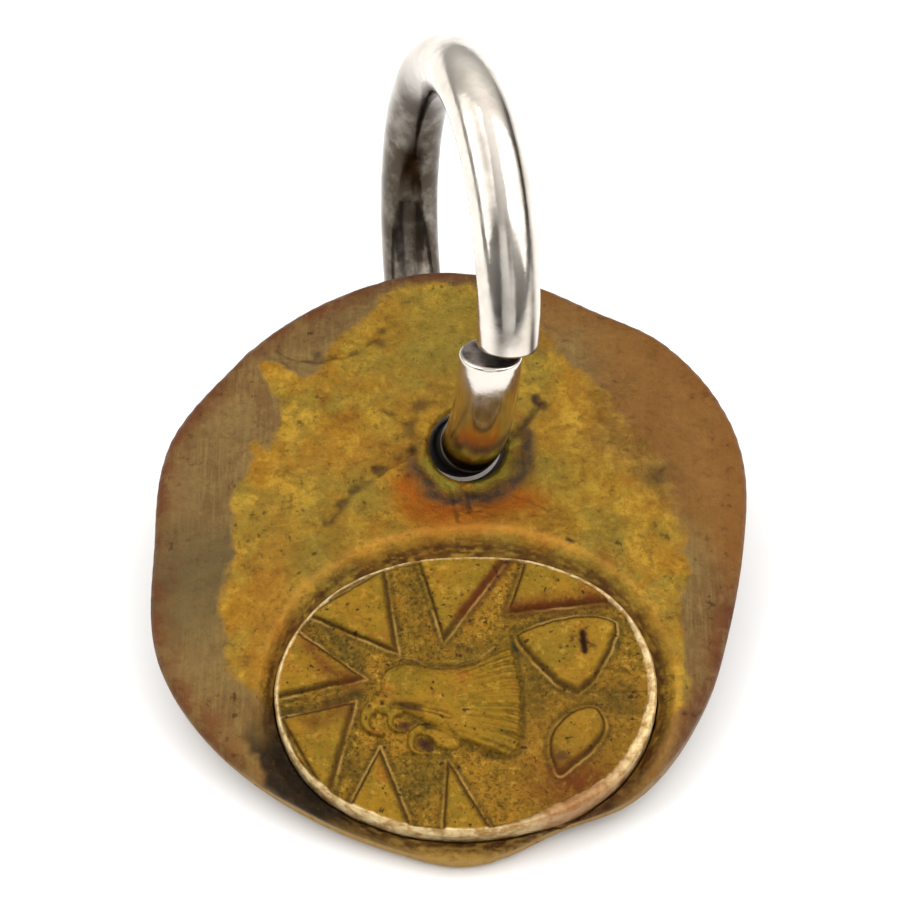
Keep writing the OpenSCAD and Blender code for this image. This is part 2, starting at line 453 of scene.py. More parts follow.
def medallion_fields(x, y):
    u, v = x - SEAL[0], y - SEAL[1]
    inset = seal_edge.inside(x, y)
    jitter_u = u + 0.03 * fractal(u, v, 0.35, 111)
    jitter_v = v + 0.03 * fractal(u, v, 0.35, 121)
    shapes = [spline(KITE, 3), spline(ALMOND, 5)]
    nearest = distance_to(RAYS + shapes, jitter_u, jitter_v)
    shifted = np.minimum(distance_to(RAYS, jitter_u + RAY_SHIFT[0], jitter_v - RAY_SHIFT[1]),
                         distance_to(shapes, jitter_u + SHAPE_SHIFT[0], jitter_v - SHAPE_SHIFT[1]))
    rise = np.minimum(ease(-nearest / WALL), ease(0.5 - shifted / WIDE_WALL))
    neck = polygon_distance(jitter_u, jitter_v, spline(NECK, 4))
    lip = around(LIP, seal_edge.angle_at(x, y)) * (1 + 0.3 * fractal(u, v, 0.5, 131))
    lip = np.clip(lip + 0.035 * fractal(u, v, 0.35, 421), 0.02, 1)
    return dict(u=u, v=v, inset=inset, nearest=nearest, rise=rise, neck=neck, lip=lip,
                line=line_distance(jitter_u, jitter_v, spline(FINE_LINE, 4, closed=False)))


def bird_height(f):
    """The bird's height over the ground, and a mask of the dark between its strands."""
    u, v = f["u"], f["v"]
    # Plumage: soft strands that fan out to the right and end in small lobes.
    angle = np.degrees(np.arctan2(v + 0.45, u + 2.6))
    reach = np.hypot(v + 0.45, u + 2.6)
    strands = 0.6 * (value_noise(angle, reach, 2.2, 141) * 2 - 1) + 0.4 * np.sin(math.radians(104) * angle)
    to_right = ease((u + 0.6) / 2.0)
    full = np.clip((-f["neck"] + 0.06 * strands * to_right) / 0.55, 0, 1)
    h = 0.24 * np.sqrt(1 - (1 - full) ** 2)
    plume = ease((-strands - 0.05) / 0.5) * to_right * ease(full * 2)
    h += 0.042 * strands * (0.15 + to_right) * ease(full * 3)
    h -= 0.07 * full * bump(v + 0.2 * u + 0.5, 0.5) * (1 - to_right)
    for rise, lens in HEAD:
        h = np.maximum(h, rise * dome(u, v, *lens))
    wave_u = u + 0.05 * fractal(u, v, 0.4, 351)
    wave_v = v + 0.05 * fractal(u, v, 0.4, 361)
    for rise, curl in CURLS:
        h = np.maximum(h, rise * arc_band(wave_u, wave_v, *curl))
    h = np.maximum(h, 0.17 * dome(wave_u, wave_v, -0.75, -1.6, 0.62, 0.34, -20))
    h -= 0.20 * dome(u, v, -1.9, -1.15, 0.28, 0.2, 15)
    h -= 0.22 * dome(u, v, -1.25, -1.75, 0.34, 0.24, -30)
    h -= 0.08 * bump(line_distance(u, v, [(-2.3, -0.5), (-1.4, -0.58), (-0.5, -0.85)]), 0.09)
    h -= 0.10 * bump(np.hypot(u - EYE[0], v - EYE[1]), 0.06)
    return h * (1 + 0.12 * fractal(u, v, 0.3, 261)), plume


def medallion_front(f):
    u, v = f["u"], f["v"]
    raised = CHARGE * f["rise"]
    bird, _ = bird_height(f)
    smooth = np.maximum(raised / CHARGE, np.clip(bird / 0.12, 0, 1))
    grain = 0.030 * fractal(u, v, 0.17, 151, 3) + 0.014 * fractal(u, v, 0.08, 161, 2)
    z = GROUND + np.maximum(raised, bird)
    z += grain * (1 - 0.72 * smooth) + 0.03 * fractal(u, v, 1.2, 171)
    dots = np.clip(value_noise(u, v, 0.16, 271) - 0.85, 0, 1) / 0.15
    z -= 0.04 * dots * smooth
    burr = 0.5 + value_noise(u, v, 0.12, 181)
    z += 0.03 * bump(f["nearest"] - 0.02, 0.03) * burr
    z += 0.05 * bump(f["line"], 0.035) * burr
    # The kite's slot and the small pits.
    z -= 0.12 * bump(segment_distance(u, v, (3.68, 2.05), (3.74, 1.4)), 0.07)
    # The rim: a thin lip, a steep outer side and a soft inner side.
    lip = f["lip"]
    top = GROUND + 0.12 + 0.04 * fractal(u, v, 0.4, 191)
    rise = 1 - ease((f["inset"] - 0.5 * lip) / (0.6 * lip + 0.1))
    z = np.maximum(z, GROUND + (top - GROUND) * rise)
    return z - 0.12 * (1 - ease(f["inset"] / 0.07))


# ---- Meshes ----


# How far apart the meshes' points lie, and how many go round each outline.
PLATE_STEP = 0.072
BACK_STEP = 0.3
SEAL_STEP = 0.043
PLATE_COUNT = 760
SEAT_COUNT = 620
SEAL_COUNT = 700
HOLE_COUNT = 110
# How far from each outline the rows of points next to it lie.
PLATE_ROWS = [0.008, 0.03, 0.065, 0.11, 0.17, 0.24, 0.31]
MOUTH_ROWS = [0.03, 0.07, 0.12, 0.18]
SEAT_ROWS = [0.045, 0.055, 0.09, 0.14]
SEAL_ROWS = [0.02, 0.045, 0.07, 0.105, 0.14, 0.18, 0.22, 0.265, 0.31, 0.36]
# Of the plate's points under the medallion, where nothing shows, one in this many is kept.
UNDER_SHARE = 9
# Height of a lattice's row over its step.
ROW_SHARE = 0.866


def lattice(low, high, step):
    """Points of a triangular lattice over a rectangle."""
    rows = int((high[1] - low[1]) / (step * ROW_SHARE)) + 1
    cols = int((high[0] - low[0]) / step) + 1
    i, j = np.meshgrid(np.arange(cols), np.arange(rows))
    x, y = low[0] + (i + 0.5 * (j % 2)) * step, low[1] + j * step * ROW_SHARE
    return np.stack([x, y], axis=-1).reshape(-1, 2)


def triangulate(loops, loose):
    """Triangles over points, bounded by closed loops. The first vertices are the loops' in order."""
    points, edges = [], []
    for loop in loops:
        first = len(points)
        points.extend(map(tuple, loop))
        edges.extend((first + k, first + (k + 1) % len(loop)) for k in range(len(loop)))
    points.extend(map(tuple, loose))
    verts, _, faces, origin, _, _ = delaunay_2d_cdt([Vector(p) for p in points], edges, [], 1, 1e-7)
    place = {}
    for new, olds in enumerate(origin):
        for old in olds:
            place[old] = new
    ids = iter([place[old] for old in range(sum(map(len, loops)))])
    loop_ids = [[next(ids) for _ in loop] for loop in loops]
    return np.array([tuple(p) for p in verts]), faces, loop_ids


def open_hole(faces, ids):
    """The faces without those that fill the loop of these vertices."""
    ids = set(ids)
    return [t for t in faces if not all(v in ids for v in t)]


def strip(a, b):
    """Quads between two closed rows of vertex numbers."""
    n = len(a)
    return [(a[k], a[(k + 1) % n], b[(k + 1) % n], b[k]) for k in range(n)]


def make_object(name, points, faces, masks, plate_space=True):
    mesh = bpy.data.meshes.new(name)
    co = to_world(points) if plate_space else points * MM
    mesh.from_pydata([tuple(p) for p in co], [], [tuple(map(int, f)) for f in faces])
    mesh.validate()
    mesh.shade_smooth()
    for mask, values in masks.items():
        layer = mesh.attributes.new(mask, "FLOAT", "POINT")
        layer.data.foreach_set("value", np.asarray(values, np.float32))
    obj = bpy.data.objects.new(name, mesh)
    bpy.context.scene.collection.objects.link(obj)
    return obj


def hole_loop(z, grow):
    """The slanted hole's outline at height z."""
    a = np.linspace(0, 2 * math.pi, HOLE_COUNT, endpoint=False)
    centre = -hole_run[:2] * z
    return np.stack([centre[0] + (HOLE_R + grow) * np.cos(a),
                     centre[1] + (HOLE_R * HOLE_STRETCH + grow) * np.sin(a)], axis=1)


def build_plate():
    rim_loop = plate_edge.ring(0, PLATE_COUNT)
    mouth_loop = hole_loop(0, 0)
    loose = [plate_edge.ring(d, PLATE_COUNT) for d in PLATE_ROWS]
    loose += [hole_loop(0, g) for g in MOUTH_ROWS]
    loose += [seal_edge.ring(-g, SEAT_COUNT) for g in SEAT_ROWS]
    grid = lattice(outline.min(axis=0), outline.max(axis=0), PLATE_STEP)
    inset = plate_edge.inside(*grid.T)
    out = -seal_edge.inside(*grid.T)
    hole = np.hypot(grid[:, 0], grid[:, 1] / HOLE_STRETCH) - HOLE_R
    # The lattice keeps clear of the rows next to the outlines.
    keep = (inset > 0.35) & (hole > 0.22) & ((out > 0.18) | (out < 0.0))
    keep &= (out > -0.2) | (np.arange(len(grid)) % UNDER_SHARE == 0)
    loose.append(grid[keep])
    flat, faces, (rim_ids, mouth_ids) = triangulate([rim_loop, mouth_loop], np.concatenate(loose))
    f = plate_fields(*flat.T)
    f["inset"][rim_ids] = 0
    front_z = plate_front(*flat.T, f)
    points = [np.column_stack([flat, front_z])]
    total = len(flat)

    # Back face.
    back_rings = [plate_edge.ring(d, PLATE_COUNT) for d in PLATE_ROWS[1::2]]
    grid = lattice(outline.min(axis=0), outline.max(axis=0), BACK_STEP)
    back_loop = hole_loop(BACK, 0)
    hole = np.hypot(grid[:, 0] - back_loop[:, 0].mean(), grid[:, 1] - back_loop[:, 1].mean()) - HOLE_R
    keep = (plate_edge.inside(*grid.T) > 0.4) & (hole > 0.45)
    loose = np.concatenate(back_rings + [hole_loop(BACK, 0.12), grid[keep]])
    back, back_faces, (back_rim, back_mouth) = triangulate([rim_loop, back_loop], loose)
    back_inset = plate_edge.inside(*back.T)
    back_inset[back_rim] = 0
    back_z = plate_back(*back.T, back_inset)
    points.append(np.column_stack([back, back_z]))
    back_faces = open_hole(back_faces, back_mouth)
    faces = open_hole(faces, mouth_ids) + [tuple(total + v for v in reversed(t)) for t in back_faces]
    back_rim = [total + v for v in back_rim]
    back_mouth = [total + v for v in back_mouth]
    total += len(back)

    # Side wall and the wall of the hole.
    def wall_rows(top_ids, bottom_ids, top_z, bottom_z, loop_at, steps):
        nonlocal total
        rows = [top_ids]
        for k in range(1, steps):
            t = k / steps
            z = top_z * (1 - t) + bottom_z * t
            points.append(np.column_stack([loop_at(t), z]))
            rows.append(list(range(total, total + len(z))))
            total += len(z)
        rows.append(bottom_ids)
        for a, b in zip(rows, rows[1:]):
            faces.extend(strip(b, a))

    all_points = np.concatenate(points)
    wall_rows(rim_ids, back_rim, all_points[rim_ids, 2], all_points[back_rim, 2], lambda t: rim_loop, 4)
    wall_rows(back_mouth, mouth_ids, all_points[back_mouth, 2], all_points[mouth_ids, 2],
              lambda t: back_loop * (1 - t) + mouth_loop * t, 5)
    points = np.concatenate(points)

    f_all = plate_fields(points[:, 0], points[:, 1])
    on_front = np.zeros(len(points))
    on_front[:len(flat)] = 1
    masks = plate_masks(points, f_all, on_front)
    return make_object("plate_casting", points, faces, masks)


def plate_masks(points, f, on_front):
    """Colour masks, all zero off the front face except border, foot and bore."""
    x, y = points[:, 0], points[:, 1]
    u, v = x + 0.5 * fractal(x, y, 1.1, 281), y + 0.5 * fractal(x, y, 1.1, 291)
    seal_turn, plate_turn = np.mod(f["round_seal"], 360), np.mod(f["round_plate"], 360)
    border = ease((f["border"] - f["inset"] + 0.2) / 0.35)
    border = np.where(on_front > 0, border, 1.0)
    brown = ease((u - 3.2 - 0.9 * np.clip(-v, 0, 9)) / 2.2)
    brown = np.maximum(brown, 0.8 * ease((v - 3.2) / 2.0) * ease((u - 1.0) / 1.5))
    # The groove next to the medallion, and a painted highlight along the crest of the collar, strongest at
    # the top.
    out = np.clip(f["out"], 0, 9)
    streak = value_noise(f["round_seal"] * 0.02, out, 0.055, 391)
    groove = 1 - ease((out - 0.45 * f["crest"] + 0.3 * (streak - 0.5)) / (0.5 * f["crest"]))
    groove = groove * (0.45 + 0.55 * ease((streak - 0.2) / 0.4))
    crest = bump(out - f["crest"] - 0.02, 0.17) * (0.8 + 0.35 * fractal(x, y, 1.4, 301))
    crest = crest * (0.3 + 0.7 * bump(seal_turn - 95, 55))
    # The dark ring round the lower side of the hole, with lumps of bright metal.
    around_hole = f["hole"] + 0.25 * fractal(x, y, 0.7, 311)
    below = ease((0.9 - y + 0.35 * x) / 1.4)
    ring = bump(around_hole - 0.72, 0.3) * below
    lumps = ease((value_noise(x, y, 0.4, 401) - 0.25) / 0.3)
    nuggets = bump(around_hole - 0.25, 0.2) * below * lumps
    # Black dirt in the groove at the lower left and below.
    low_left = np.clip(1.4 * bump(seal_turn - 209, 21), 0, 1)
    black = low_left * (1 - ease((out - 0.75 + 0.4 * fractal(x, y, 0.6, 321)) / 0.45))
    low = 0.55 * bump(seal_turn - 262, 28) * bump(out - 0.35, 0.3)
    black = np.maximum(black, low * ease(fractal(x, y, 0.5, 331) * 3))
    stain = value_noise(x, y, 0.25, 201)
    crack = f["seam"] * ease((stain - 0.2) / 0.4) * 0.85
    for at, half, dark in STAINS:
        blot = marks(u, v, [(at, half, 1.0)])
        crack = np.maximum(crack, dark * blot * ease((stain + blot - 0.45) / 0.6))
    dusk = bump(plate_turn - 187, 16) * border
    edge = 1 - ease((f["inset"] + 0.3 * fractal(x, y, 0.9, 341)) / 1.1)
    masks = dict(brown=brown, olive=marks(u, v, OLIVE), orange=marks(u, v, ORANGE), heat=marks(u, v, HEAT),
                 glow=bump(line_distance(u, v, GLOW), 0.7), groove=groove, crest=crest, ring=ring,
                 nuggets=nuggets, black=black, crack=crack, dusk=dusk, edge=edge)
    masks = {name: np.clip(mask, 0, 1) * on_front for name, mask in masks.items()}
    # Painted light: the border of the bottom lobe and the side below it are made brighter.
    foot = bump(plate_turn - 268, 30) * border * (on_front > 0)
    masks["foot"] = np.maximum(foot, (on_front < 1) * bump(plate_turn - 268, 40))
    # Painted shade: the wall of the hole is made near black.
    masks["bore_shade"] = (f["hole"] < 0.02) & (on_front < 1) & (np.abs(points[:, 2]) < 2)
    masks["border"] = border
    return masks


def build_medallion():
    rim_loop = seal_edge.ring(0, SEAL_COUNT)
    loose = [seal_edge.ring(d, SEAL_COUNT) for d in SEAL_ROWS]
    grid = lattice(oval.min(axis=0), oval.max(axis=0), SEAL_STEP)
    loose.append(grid[seal_edge.inside(*grid.T) > SEAL_ROWS[-1] + 0.025])
    flat, faces, (rim_ids,) = triangulate([rim_loop], np.concatenate(loose))
    f = medallion_fields(*flat.T)
    f["inset"][rim_ids] = 0
    z = medallion_front(f)
    points = [np.column_stack([flat, z])]
    total = len(flat)
    faces = list(faces)
    rows = [rim_ids]
    for share in (0.3, 0.6, 1.0):
        level = z[rim_ids] * (1 - share) + seat_floor * share
        points.append(np.column_stack([rim_loop, level]))
        rows.append(list(range(total, total + SEAL_COUNT)))
        total += SEAL_COUNT
    for a, b in zip(rows, rows[1:]):
        faces.extend(strip(b, a))
    _, back_faces, (back_rim,) = triangulate([rim_loop], [])
    place = dict(zip(back_rim, rows[-1]))
    faces += [tuple(place[v] for v in reversed(t)) for t in back_faces]
    points = np.concatenate(points)
    f = medallion_fields(points[:, 0], points[:, 1])
    side = np.zeros(len(points))
    side[len(flat):] = 1
    side[rim_ids] = 1
    return make_object("medallion_relief", points, faces, medallion_masks(f, side))


def medallion_masks(f, side):
    u, v = f["u"], f["v"]
    bird, plume = bird_height(f)
    charge = f["rise"]
    smooth = np.maximum(charge, np.clip(bird / 0.12, 0, 1))
    # Painted shade on the charges' walls.
    wall_shade = np.maximum(4 * charge * (1 - charge), 0.8 * bump(f["nearest"] + 0.07, 0.07)) * (f["nearest"] < 0)
    foot = 0.7 * bump(f["nearest"] - 0.12, 0.1) + 0.8 * bump(f["neck"] - 0.08, 0.12) * (charge < 0.2)
    broken = 0.1 + 0.9 * ease((value_noise(u, v, 0.8, 211) - 0.25) / 0.55)
    # Bright lines along the charges' edges and the fine line: bare-metal burrs with a painted highlight.
    lines = np.maximum(bump(f["nearest"] - 0.02, 0.03), 0.7 * bump(f["line"], 0.03)) * broken
    # Dark spots: the kite's slot, a smudge across it, the hollows of the curls, the eye and the mouth.
    dark = marks(u, v, [((2.95, -2.2), (0.28, 0.2), 0.7)], [([(3.68, 2.05), (3.74, 1.45)], 0.12, 1.0)])
    smudge = bump(segment_distance(u, v, (3.4, 1.8), (4.0, 1.65)), 0.16)
    mouth_line = bump(line_distance(u, v, [(-2.3, -0.45), (-1.4, -0.6), (-0.5, -0.85)]), 0.16)
    for spot in (0.8 * smudge * ease((value_noise(u, v, 0.12, 411) - 0.4) / 0.3),
                 0.9 * dome(u, v, -1.9, -1.15, 0.34, 0.22, 15) ** 2,
                 0.95 * dome(u, v, -1.25, -1.78, 0.4, 0.27, -30) ** 2,
                 bump(np.hypot(u - EYE[0], v - EYE[1]), 0.07),
                 0.75 * mouth_line * ease((value_noise(u, v, 0.3, 371) - 0.2) / 0.4)):
        dark = np.maximum(dark, spot)
    for place, spread, count in PIT_GROUPS:
        draw = np.random.RandomState(count)
        for _ in range(count):
            pit = place + spread * draw.randn(2)
            dark = np.maximum(dark, 0.9 * bump(np.hypot(u - pit[0], v - pit[1]), 0.03 + 0.03 * draw.rand()))
    shade = np.maximum(marks(u, v, SHADE_OVALS, SHADE_LINES), foot)
    rust = marks(u, v, RUST_OVALS, RUST_LINES)
    # The lip is brightest at the right, where it is most worn and where a painted highlight is laid.
    turn = np.mod(np.degrees(np.arctan2(v, u)), 360)
    wear_and_highlight_side = np.maximum(bump(np.mod(turn + 180, 360) - 170, 38), 0.35)
    lip = (1 - ease((f["inset"] - f["lip"]) / 0.06)) * (0.75 + 0.25 * wear_and_highlight_side)
    lip = np.maximum(lip, 0.08 * side * wear_and_highlight_side)
    warm = ease((u - 0.6) / 2.0) * ease((1.4 - v) / 2.0)
    masks = dict(smooth=smooth, wall_shade=wall_shade, lip=lip, lines=lines, dark=dark, shade=shade * (1 - smooth),
                 rust=rust, pink=bump(turn - 312, 20), plume=plume, warm=warm,
                 side=side * (1 - 0.3 * wear_and_highlight_side))
    for name in ("wall_shade", "lines", "dark", "rust"):
        masks[name] = masks[name] * (1 - np.maximum(lip, side))
    return masks


# The ring: its axis and centre are the joint's.
JOINT = frame["joints"][0]
CUT_ANGLE = math.radians(16)
CUT_HALF_ANGLE = math.radians(1.13)
RING_BEND = math.radians(2.4)
STATIONS = 420
WIRE_COUNT = 72
# The wire's rounded ends: how far along the wire, and the share of its radius.
END_ROWS = [(0.0, 0.0), (0.0, 0.35), (0.0, 0.7), (0.005, 0.88), (0.02, 0.95), (0.05, 0.985), (0.1, 1.0)]


def ring_axes():
    """The ring's centre and axis, with directions towards its cut and, square to that, down."""
    centre = np.array(JOINT["pos_m"]) / MM
    axis = np.array(JOINT["axis"], float)
    axis /= np.linalg.norm(axis)
    ahead = np.cross(axis, (0, 0, 1))
    ahead /= np.linalg.norm(ahead)
    up = np.cross(ahead, axis)
    cut = math.cos(CUT_ANGLE) * ahead + math.sin(CUT_ANGLE) * up
    return centre, axis, cut, np.cross(axis, cut)


def build_ring():
    centre, axis, cut, down = ring_axes()
    co = cad_points("split_ring") - centre
    lower = co @ down > 0.5
    reach = np.hypot(co[lower] @ cut, co[lower] @ down)
    ring_r = (reach.max() + reach.min()) / 2
    wire_r = (reach.max() - reach.min()) / 2

    # The wire's centre line and its directions at each station.
    t = np.linspace(CUT_HALF_ANGLE, 2 * math.pi - CUT_HALF_ANGLE, STATIONS)
    line = ring_r * (np.cos(t)[:, None] * cut + np.sin(t)[:, None] * down)
    along = -np.sin(t)[:, None] * cut + np.cos(t)[:, None] * down
    side = np.repeat(axis[None], STATIONS, axis=0)
    # The upper half is bent sideways about the point opposite the cut.
    pivot = -ring_r * cut
    bend = np.array(Matrix.Rotation(-RING_BEND, 3, Vector(down)))
    upper = t > math.pi
    line[upper] = (line[upper] - pivot) @ bend.T + pivot
    along[upper] = along[upper] @ bend.T
    side[upper] = side[upper] @ bend.T
    outward = np.cross(along, side)

    a = np.linspace(0, 2 * math.pi, WIRE_COUNT, endpoint=False)
    turn = np.degrees(a)
    wave = fractal(np.cos(t) * 4, np.sin(t) * 4, 1.2, 221)
    # How far each station stands above the plate's face, and the quarter that passes the hole.
    above = ((line + centre) @ TO_PLATE.T - ORIGIN)[:, 2]
    stub = t < math.pi / 2
    rows, looks = [], dict(cut=[], dark_reflection=[], hole_shade=[], warm=[])

    def row(k, scale, shift):
        r = wire_r * max(scale, 0.02) * (1 + 0.004 * wave[k])
        dents = 0.006 * fractal(np.cos(a) * 1.2 + t[k] * 2.2, np.sin(a) * 1.2 + t[k] * 2.2, 0.6, 231)
        around_wire = np.cos(a)[:, None] * side[k] + np.sin(a)[:, None] * outward[k]
        rows.append(line[k] + shift * along[k] + (r + dents)[:, None] * around_wire)
        looks["cut"].append(np.full(WIRE_COUNT, 1.0 - ease((scale - 0.9) / 0.08)))
        # Painted dark reflections: the far arm darker, streaks beside the cut and a spot on the arm.
        far_side = ease((abs(math.pi - t[k]) - math.radians(40)) / math.radians(-45) + 1)
        far_reflection = far_side * (0.35 + 0.65 * ease(0.5 - 0.9 * np.sin(a)))
        near_cut = ease((t[k] - math.radians(275)) / math.radians(25))
        reflected_streaks = 0.8 * bump(turn - 120, 12) + 1.3 * bump(turn - 56, 8)
        reflected_spot = bump(turn - 98, 5) * bump(math.degrees(t[k]) - 331, 7)
        reflected_streaks = np.clip(reflected_streaks * (0.8 + 0.4 * wave[k]) + reflected_spot, 0, 1)
        looks["dark_reflection"].append(np.maximum(far_reflection, near_cut * reflected_streaks))
        # Painted shade: the wire inside the hole, below the plate's face, is made near black.
        in_hole_shade = (1 - ease((above[k] + 0.1) / 0.3)) * ease((above[k] + 2.6) / 1.2)
        looks["hole_shade"].append(np.full(WIRE_COUNT, stub[k] * in_hole_shade))
        ragged = 0.35 * fractal(turn / 30, np.full(WIRE_COUNT, above[k]), 0.5, 431)
        climb = 0.9 * ease(-0.9 * np.cos(a) - 0.2)
        looks["warm"].append(stub[k] * (1 - ease((above[k] - 1.0 + ragged - climb) / 0.5)))

    for depth, scale in END_ROWS:
        row(0, scale, depth)
    for k in range(2, STATIONS - 2):
        row(k, 1.0, 0)
    for depth, scale in reversed(END_ROWS):
        row(STATIONS - 1, scale, -depth)
    points = np.concatenate(rows) + centre
    ids = np.arange(len(points)).reshape(-1, WIRE_COUNT)
    faces = []
    for p, q in zip(ids, ids[1:]):
        faces.extend(strip(p, q))
    faces.append(tuple(reversed(ids[0])))
    faces.append(tuple(ids[-1]))
    masks = {name: np.concatenate(values) for name, values in looks.items()}
    return make_object("wire_ring", points, faces, masks, plate_space=False)


# ---- Materials ----


def linear(code):
    """A linear colour from a hex code."""
    parts = [int(code[k:k + 2], 16) / 255 for k in (0, 2, 4)]
    return tuple(p / 12.92 if p <= 0.04045 else ((p + 0.055) / 1.055) ** 2.4 for p in parts) + (1,)


class Graph:
    """A material's node tree with short calls for the nodes used here."""

    def __init__(self, name):
        self.material = bpy.data.materials.new(name)
        self.material.use_nodes = True
        self.tree = self.material.node_tree
        self.shader = self.tree.nodes["Principled BSDF"]
        place = self.add("ShaderNodeTexCoord").outputs["Object"]
        scale = self.add("ShaderNodeMapping")
        scale.inputs["Scale"].default_value = (1000, 1000, 1000)
        self.join(place, scale.inputs["Vector"])
        self.place = scale.outputs["Vector"]

    def add(self, kind, **settings):
        node = self.tree.nodes.new(kind)
        for key, value in settings.items():
            setattr(node, key, value)
        return node

    def join(self, source, target):
        if isinstance(source, bpy.types.NodeSocket):
            self.tree.links.new(source, target)
        else:
            target.default_value = source

    def noise(self, scale, detail=4.0, rough=0.55, stretch=None, warp=0.0):
        node = self.add("ShaderNodeTexNoise")
        place = self.place
        if stretch:
            squash = self.add("ShaderNodeMapping")
            squash.inputs["Scale"].default_value = stretch
            self.join(place, squash.inputs["Vector"])
            place = squash.outputs["Vector"]
        self.join(place, node.inputs["Vector"])
        node.inputs["Scale"].default_value = scale
        node.inputs["Detail"].default_value = detail
        node.inputs["Roughness"].default_value = rough
        node.inputs["Distortion"].default_value = warp
        return node.outputs["Fac"]

    def mask(self, name):
        return self.add("ShaderNodeAttribute", attribute_name=name).outputs["Fac"]

    def math(self, kind, a, b=0.0):
        node = self.add("ShaderNodeMath", operation=kind)
        self.join(a, node.inputs[0])
        self.join(b, node.inputs[1])
        return node.outputs[0]

    def span(self, value, low, high, to_low=0.0, to_high=1.0):
        node = self.add("ShaderNodeMapRange", interpolation_type="SMOOTHSTEP")
        self.join(value, node.inputs["Value"])
        for key, number in (("From Min", low), ("From Max", high), ("To Min", to_low), ("To Max", to_high)):
            node.inputs[key].default_value = number
        return node.outputs["Result"]

    def mix(self, share, a, b):
        node = self.add("ShaderNodeMix", data_type="RGBA")
        self.join(share, node.inputs["Factor"])
        self.join(a, node.inputs[6])
        self.join(b, node.inputs[7])
        return node.outputs[2]

    def lay(self, colour, *layers):
        """Colours laid one over another, each by a value or a mask's name times a strength."""
        for share, strength, code in layers:
            share = self.mask(share) if isinstance(share, str) else share
            colour = self.mix(self.math("MULTIPLY", share, strength), colour, linear(code))
        return colour

    def bump(self, height, distance, strength, normal=None):
        node = self.add("ShaderNodeBump")
        node.inputs["Strength"].default_value = strength
        node.inputs["Distance"].default_value = distance
        self.join(height, node.inputs["Height"])
        if normal is not None:
            self.join(normal, node.inputs["Normal"])
        return node.outputs["Normal"]

    def surface(self, colour, metallic, rough, normal):
        """The finished material."""
        names = "Base Color", "Metallic", "Roughness", "Normal"
        for name, value in zip(names, (colour, metallic, rough, normal)):
            self.join(value, self.shader.inputs[name])
        return self.material


def deepen(g, colour, tone):
    """The whole colour under a thin dark tarnish."""
    node = g.add("ShaderNodeMix", data_type="RGBA", blend_type="MULTIPLY")
    node.inputs["Factor"].default_value = 1.0
    g.join(colour, node.inputs[6])
    node.inputs[7].default_value = tone + (1,)
    return node.outputs[2]


BRASS_METALLIC = 0.9


def plate_material():
    g = Graph("plate_brass")
    broad = g.noise(0.35, 5, 0.65)
    patches = g.noise(0.9, 8, 0.74, warp=0.3)
    mottle = g.noise(2.4, 8, 0.78, warp=0.3)
    fine = g.noise(5.0, 7, 0.75)
    # The clean face.
    colour = g.mix(g.span(broad, 0.42, 0.58), linear("a37423"), linear("94792f"))
    colour = g.mix(g.span(patches, 0.49, 0.64), colour, linear("bf9535"))
    colour = g.lay(colour, (g.span(patches, 0.47, 0.36), 0.8, "875a1e"), ("olive", 0.75, "80702f"),
                   ("orange", 0.6, "9c6420"))
    brown = g.mix(g.span(patches, 0.42, 0.6), linear("7a5429"), linear("94713a"))
    colour = g.mix(g.math("MULTIPLY", g.mask("brown"), 0.8), colour, brown)
    colour = g.lay(colour, (g.span(mottle, 0.52, 0.66), 0.4, "c59c40"),
                   (g.span(mottle, 0.47, 0.36), 0.6, "6b4a19"))
    # The brown border.
    brush = g.noise(1.6, 6, 0.7, stretch=(5.0, 0.3, 1.0))
    border = g.mix(g.span(broad, 0.42, 0.6), linear("846a45"), linear("75563a"))
    border = g.lay(
        border,
        (g.span(brush, 0.45, 0.62), 0.45, "98804f"),
        (g.span(patches, 0.52, 0.64), 0.5, "6a4630"),
        (g.span(mottle, 0.5, 0.64), 0.35, "9a7a48"),
        ("dusk", 0.85, "5c4f38"),
        ("edge", g.span(patches, 0.42, 0.55, 0.35, 0.95), "643224"),
        ("brown", 0.75, "8a5a2a"),
    )
    colour = g.mix(g.math("MULTIPLY", g.mask("border"), 0.93), colour, border)
    # Wear, heat and dirt on both, with painted light on the foot, a painted highlight on the crest and
    # painted shade in the bore.
    freckle = g.math("MULTIPLY", g.span(g.noise(2.6, 4, 0.6), 0.61, 0.68), g.span(broad, 0.4, 0.6, 0.2, 1.0))
    colour = g.lay(
        colour,
        # painted light on the bottom lobe
        ("foot", 0.85, "c29a4e"),
        # painted highlight on the collar's crest, strongest at the top
        ("crest", 0.85, "c4893a"),
        ("glow", g.span(patches, 0.3, 0.55, 0.55, 0.95), "a3550f"),
        ("heat", g.span(patches, 0.35, 0.55, 0.6, 1.0), "642a0c"),
        ("groove", g.span(g.noise(1.6, 5, 0.65), 0.3, 0.6, 0.7, 1.0), "4b2d12"),
        ("ring", g.span(mottle, 0.35, 0.55, 0.6, 1.0), "47382f"),
        ("nuggets", g.span(mottle, 0.38, 0.55, 0.5, 1.0), "9c9138"),
        ("crack", g.span(mottle, 0.35, 0.55, 0.55, 1.0), "352620"),
        ("black", 0.95, "1f1915"),
        # painted shade inside the hole
        ("bore_shade", 0.9, "17120e"),
        (freckle, 0.7, "4a2f1c"),
        (g.span(fine, 0.5, 0.66), 0.35, "5f431c"),
    )
    rough = g.span(g.noise(1.3, 5, 0.6), 0.3, 0.7, 0.36, 0.58)
    scratches = g.noise(2.2, 5, 0.65, stretch=(6.0, 0.35, 1.0))
    normal = g.bump(scratches, 0.00002, 0.5)
    normal = g.bump(g.noise(3.0, 8, 0.75), 0.00008, 0.9, normal)
    return g.surface(deepen(g, colour, (0.85, 0.86, 0.75)), BRASS_METALLIC, rough, normal)


